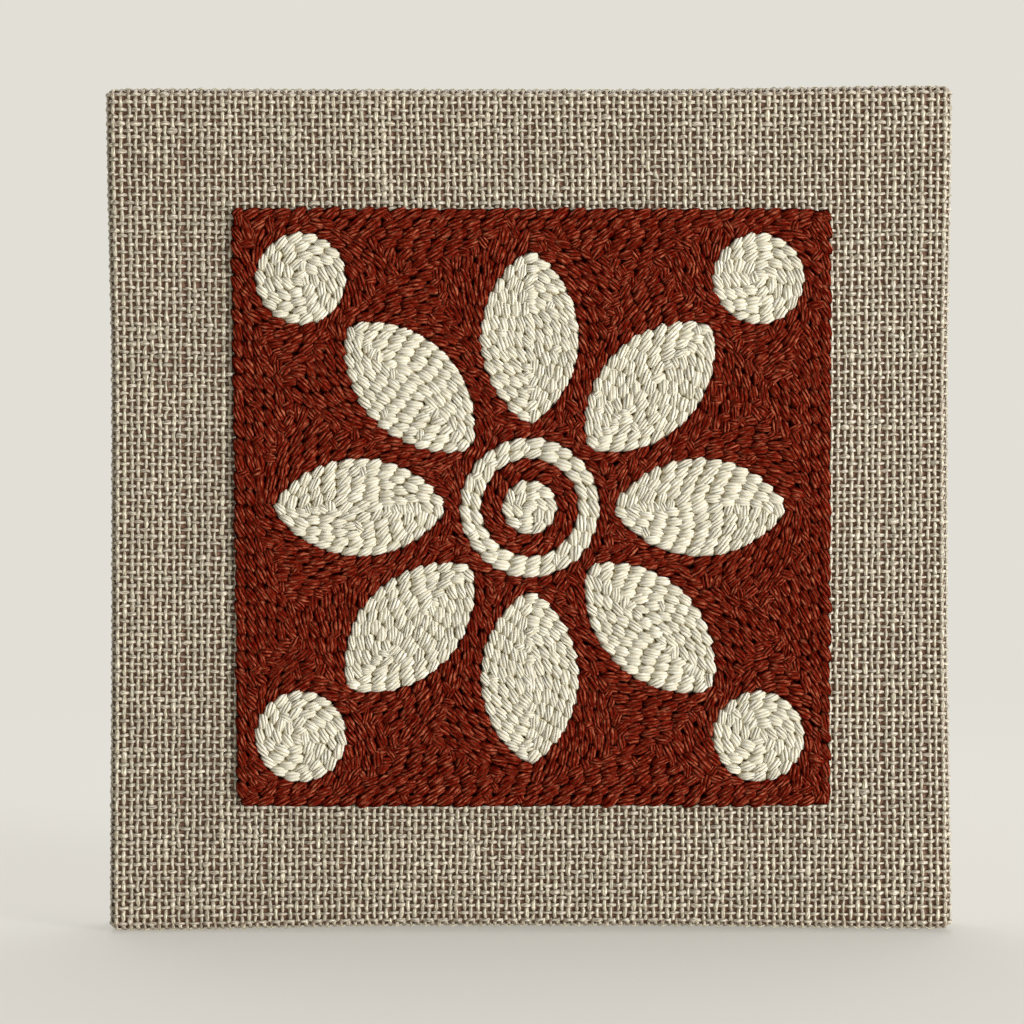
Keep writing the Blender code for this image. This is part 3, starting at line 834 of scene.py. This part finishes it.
def stitched(name, material, figure, node):
    """One piece of all the stitches of a figure, which stands for its CAD node."""
    count = len(figure)
    x, z, angle, length, width = figure.T[:, :, None]
    along, aside, height = laid_stitches(count)
    along = along * length / STITCH_LENGTH
    aside = aside * (width / COVER_WIDTH).clip(0.7, 1.4) * work.normal(1.0, 0.05, (count, 1))
    height = height * work.normal(1.0, 0.04, (count, 1)).clip(0.9, 1.03)
    roll = np.radians(work.normal(0, 7, (count, 1)))
    y = aside * np.cos(roll) - (height - SHOULDER) * np.sin(roll)
    h = aside * np.sin(roll) + (height - SHOULDER) * np.cos(roll) + SHOULDER
    points = np.stack([x + np.cos(angle) * along - np.sin(angle) * y, -CLOTH_TOP - h,
                       z + np.sin(angle) * along + np.cos(angle) * y + PANEL_MIDDLE_Z], axis=-1)
    corners = (form_corners[None] + np.arange(count)[:, None] * len(line_of)).ravel()
    uv = form_uv[None] + work.random((count, 1, 2)) * 0.5
    tone = 0.5 * work.random((count, 1)) + 0.5 * work.random((count, 3))[:, strand_of]
    piece = skin(name, material, points.reshape(-1, 3), corners, np.tile(form_sizes, count),
                 uv.reshape(-1, 2), tone.ravel(), np.tile(form_painted_shade, count), in_groove)
    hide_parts(node)


def plied_yarn(name, between, deep, body, light, shaded):
    """Wool, spun in soft strands and loosely plied: matt, with fine fibres along each strand, paler
    flecks of down on them painted as highlights, and painted shade in its grooves and at its sides and
    ends."""
    material, tree, shader = start_material(name)
    flat = add_node(tree, "UVMap").outputs[0]
    tone = add_node(tree, "Attribute", attribute_name="tone").outputs["Fac"]
    stretched = add_node(tree, "Mapping", {"Vector": flat, "Rotation": (0.0, 0.0, 0.25),
                                           "Scale": (400.0, 1650.0, 1.0)}).outputs[0]
    fibres = add_node(tree, "TexNoise", {"Vector": stretched, "Scale": 1.0, "Detail": 4.0,
                                         "Roughness": 0.65}).outputs[0]
    streaks = add_node(tree, "MapRange", {"Value": fibres, "From Min": 0.34,
                                          "From Max": 0.62}).outputs[0]
    base = add_node(tree, "Mix", {0: streaks, 6: linear(deep), 7: linear(body)},
                    data_type="RGBA").outputs[2]
    # Painted highlight: the brightest flecks of the fibres take the light colour, as down that catches
    # the light would.
    down = add_node(tree, "MapRange", {"Value": fibres, "From Min": 0.52,
                                       "From Max": 0.68}).outputs[0]
    mixed = add_node(tree, "Mix", {0: down, 6: base, 7: linear(light)}, data_type="RGBA").outputs[2]
    shade = add_node(tree, "MapRange", {"Value": tone, "To Min": 0.84, "To Max": 1.1}).outputs[0]
    toned = add_node(tree, "VectorMath", {0: mixed, "Scale": shade}, operation="SCALE").outputs[0]
    # Painted shade: towards the grooves, the yarn's sides and its ends the colour goes over to between,
    # as far as shaded allows.
    painted_shade_depth = add_node(tree, "Attribute", attribute_name="painted_shade_depth").outputs["Fac"]
    painted_shade_share = add_node(tree, "MapRange", {"Value": painted_shade_depth, "From Min": 0.1, "From Max": 0.95,
                                       "To Max": shaded}).outputs[0]
    colour = add_node(tree, "Mix", {0: painted_shade_share, 6: toned, 7: linear(between)},
                      data_type="RGBA").outputs[2]
    finish_surface(tree, shader, colour, fibres, 0.9, 0.22 * MM, 0.7)
    shader.inputs["Specular IOR Level"].default_value = 0.0
    return material


# Each yarn: its painted shade for grooves and gaps, the dark and the usual colour of its fibres, the
# painted highlight of its flecks, and how far the painted shade goes.
rust_yarn = plied_yarn("wool_yarn_rust_plied", "#1a0000", "#520602", "#882c19", "#b96d4e", 0.95)
cream_yarn = plied_yarn("wool_yarn_cream_plied", "#c4b896", "#dad4bd", "#f0ecdc", "#f8f7ee", 0.8)


# THE STITCHES, FIGURE BY FIGURE
# Cream for the petals, the corner discs, the ring and its eye; rust for the band inside the ring
# and for the whole ground, whose rows echo the border and every figure.
petal_turns = [90 - 360 * k / PETALS for k in range(PETALS)]
disc_places = [(DISC_REACH * i, DISC_REACH * j) for i, j in ((1, 1), (1, -1), (-1, -1), (-1, 1))]
ring_outside = outside_round(0, 0, RING_OUTER)
ring_hole = outside_round(0, 0, RING_INNER)
eye_outside = outside_round(0, 0, EYE_RADIUS)
petals_outside = [outside_petal(turn) for turn in petal_turns]
discs_outside = [outside_round(x, z, DISC_RADIUS) for x, z in disc_places]
ground_depth = np.minimum.reduce([inside_field(), ring_outside, *petals_outside, *discs_outside])

# Each figure's piece, yarn, depth inside its outline, distance from row to row, size of its stitches
# beside the usual one, and CAD node.
figures = [("ground_in_rust", "rust_yarn", ground_depth, 3.1 * MM, 1.0, "ground_stitches"),
           ("band_in_rust", "rust_yarn", np.minimum(-ring_hole, eye_outside), 3.25 * MM, 1.0,
            "band_stitches"),
           ("ring_in_cream", "cream_yarn", np.minimum(-ring_outside, ring_hole), 3.25 * MM, 1.0,
            "ring_stitches"),
           ("eye_in_cream", "cream_yarn", -eye_outside, 2.8 * MM, 0.9, "eye_stitches")]
for kind, outsides in (("petal", petals_outside), ("disc", discs_outside)):
    for k, outside in enumerate(outsides, 1):
        figures.append((f"{kind}_{k}_in_cream", "cream_yarn", -outside, 2.6 * MM, 0.9,
                        f"{kind}_stitches_{k}"))
yarns = {"rust_yarn": rust_yarn, "cream_yarn": cream_yarn}
worked = {"rust_yarn": [], "cream_yarn": []}
for name, yarn, depth, pitch, size, node in figures:
    figure = work_figure(depth, pitch, size)
    worked[yarn].append(figure)
    stitched(name, yarns[yarn], figure, node)


# THE LOOPS BEHIND
# Every stitch leaves a loop of its yarn behind the cloth, which nothing holds but the weave. They
# stand close together in the frame's hollow, a little uneven, some leaning over.
LOOP_OUT = 9.75 * MM           # where they leave the cloth, in front of the bars' middle plane
BAR_INSIDE = 94.7 * MM         # from the panel's middle to the bars' inner sides, which stop them
LOOP_RADIUS, YARN_RADIUS = 1.75 * MM, 1.6 * MM
LOOP_HEIGHT = 1.85             # beside that of a half circle
bpy.ops.mesh.primitive_torus_add(major_segments=8, minor_segments=5, major_radius=LOOP_RADIUS,
                                 minor_radius=YARN_RADIUS, rotation=(math.pi / 2, 0.0, 0.0))
bpy.ops.object.transform_apply(location=True, rotation=True, scale=True)
loop_form = bpy.context.object
bpy.ops.object.mode_set(mode="EDIT")
bpy.ops.mesh.select_all(action="SELECT")
bpy.ops.mesh.bisect(plane_co=(0.0, 0.0, 0.0), plane_no=(0.0, 0.0, 1.0), clear_inner=True, use_fill=True)
bpy.ops.mesh.select_all(action="SELECT")
bpy.ops.transform.resize(value=(1.0, 1.0, LOOP_HEIGHT), center_override=(0.0, 0.0, 0.0))
bpy.ops.mesh.normals_make_consistent(inside=False)
bpy.ops.object.mode_set(mode="OBJECT")
loop_points = np.array([v.co for v in loop_form.data.vertices])
loop_sizes = np.array([f.loop_total for f in loop_form.data.polygons])
loop_corners = np.array([v for f in loop_form.data.polygons for v in f.vertices])
bpy.data.objects.remove(loop_form)


def looped(name, material, stitches):
    """One piece of the loops that these stitches of a yarn leave behind, each a little turned,
    higher or lower, and leaning."""
    x, z, angle, _, _ = stitches.T
    count = len(x)
    angle = angle + work.normal(0, 0.5, count)
    high = work.normal(1.0, 0.1, count).clip(0.75, 1.1)
    lean = work.normal(0, 0.16, count)
    shape = loop_points[None] * np.column_stack([np.ones(count), np.ones(count), high])[:, None, :]
    y = shape[:, :, 1] + shape[:, :, 2] * lean[:, None]
    c, s = np.cos(angle)[:, None], np.sin(angle)[:, None]
    sideways = (x[:, None] + c * shape[:, :, 0] + s * y).clip(-BAR_INSIDE, BAR_INSIDE)
    upward = (z[:, None] + s * shape[:, :, 0] - c * y).clip(-BAR_INSIDE, BAR_INSIDE)
    points = np.stack([sideways, shape[:, :, 2] - LOOP_OUT, upward + PANEL_MIDDLE_Z], axis=-1)
    corners = (loop_corners[None] + np.arange(count)[:, None] * len(loop_points)).ravel()
    flat = shape[:, loop_corners]
    uv = np.stack([flat[:, :, 2] + flat[:, :, 0], flat[:, :, 1]], axis=-1)
    uv = uv + work.random((count, 1, 2)) * 0.5
    tone = np.repeat(work.random(count), len(loop_points))
    piece = skin(name, material, points.reshape(-1, 3), corners, np.tile(loop_sizes, count),
                 uv.reshape(-1, 2), tone)
    return piece


for name, yarn in (("rust_loops_behind", "rust_yarn"), ("cream_loops_behind", "cream_yarn")):
    loops = looped(name, yarns[yarn], np.vstack(worked[yarn]))
    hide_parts("loop_pile")


# THE FLOOR, THE LIGHT AND THE CAMERA
# A plain pale floor under the panel, one broad soft light from the right as from a window, and a
# long lens that looks at the panel nearly straight on.
PIXELS_PER_METRE = 3274.0      # of the picture, at the stitches' crowns
IMAGE_WIDTH = 1024
LENS, SENSOR = 85.0, 36.0
ROOM = "#e2dfd7"
FLOOR_SIZE, FLOOR_GAP = 12.0, 0.5 * MM
VIEW_X, VIEW_Z = -5.4 * MM, -1.4 * MM   # of the camera, from the panel's middle
PANEL_FRONT = -13.0 * MM

bpy.ops.object.select_all(action="DESELECT")
bpy.ops.mesh.primitive_plane_add(size=FLOOR_SIZE, location=(0.0, 0.0, cad_box[0][2] - FLOOR_GAP))
floor = bpy.context.object
floor.name = "floor"
paint, tree, shader = start_material("painted_floor_pale_matt")
shader.inputs["Base Color"].default_value = linear("#ece9e2")
shader.inputs["Roughness"].default_value = 0.9
# Away from the panel the floor takes on the room's colour, so that no edge of it shows.
place = add_node(tree, "TexCoord").outputs["Object"]
away = add_node(tree, "VectorMath", {0: place}, operation="LENGTH").outputs["Value"]
far = add_node(tree, "MapRange", {"Value": away, "From Min": 0.2, "From Max": 1.2, "To Min": 0.45},
               interpolation_type="SMOOTHSTEP").outputs[0]
glow = add_node(tree, "Emission", {"Color": linear(ROOM)})
both = add_node(tree, "MixShader", {0: far, 1: shader.outputs[0], 2: glow.outputs[0]})
tree.links.new(both.outputs[0], tree.nodes["Material Output"].inputs[0])
floor.data.materials.append(paint)

scene = bpy.context.scene
scene.view_settings.view_transform = "Standard"
world = bpy.data.worlds.new("pale_room")
world.use_nodes = True
sky = world.node_tree
sky.nodes["Background"].inputs["Color"].default_value = linear("#e4e2de")
sky.nodes["Background"].inputs["Strength"].default_value = 0.34
seen = add_node(sky, "Background", {"Color": linear(ROOM), "Strength": 1.0})
plain = add_node(sky, "MixShader", {0: add_node(sky, "LightPath").outputs["Is Camera Ray"],
                                    1: sky.nodes["Background"].outputs[0], 2: seen.outputs[0]})
sky.links.new(plain.outputs[0], sky.nodes["World Output"].inputs[0])
scene.world = world


def soft_light(name, place, size, power, target=(0.0, 0.0, PANEL_MIDDLE_Z)):
    """A square area light that faces the panel."""
    lamp = bpy.data.lights.new(name, "AREA")
    lamp.size, lamp.energy = size, power
    made = bpy.data.objects.new(name, lamp)
    scene.collection.objects.link(made)
    made.location = place
    aim = mathutils.Vector(target) - mathutils.Vector(place)
    made.rotation_euler = aim.to_track_quat("-Z", "Y").to_euler()


soft_light("window", (2.5, -1.7, -0.03), 0.8, 134.0)
soft_light("over_the_floor", (0.0, 0.7, 1.5), 1.8, 26.0, (0.0, 0.2, -0.22))

distance = IMAGE_WIDTH / PIXELS_PER_METRE * LENS / SENSOR
camera = bpy.data.cameras.new("camera")
camera.lens, camera.sensor_width = LENS, SENSOR
viewer = bpy.data.objects.new("camera", camera)
scene.collection.objects.link(viewer)
viewer.location = (VIEW_X, PANEL_FRONT - distance, PANEL_MIDDLE_Z + VIEW_Z)
viewer.rotation_euler = (math.pi / 2, 0.0, 0.0)
scene.camera = viewer
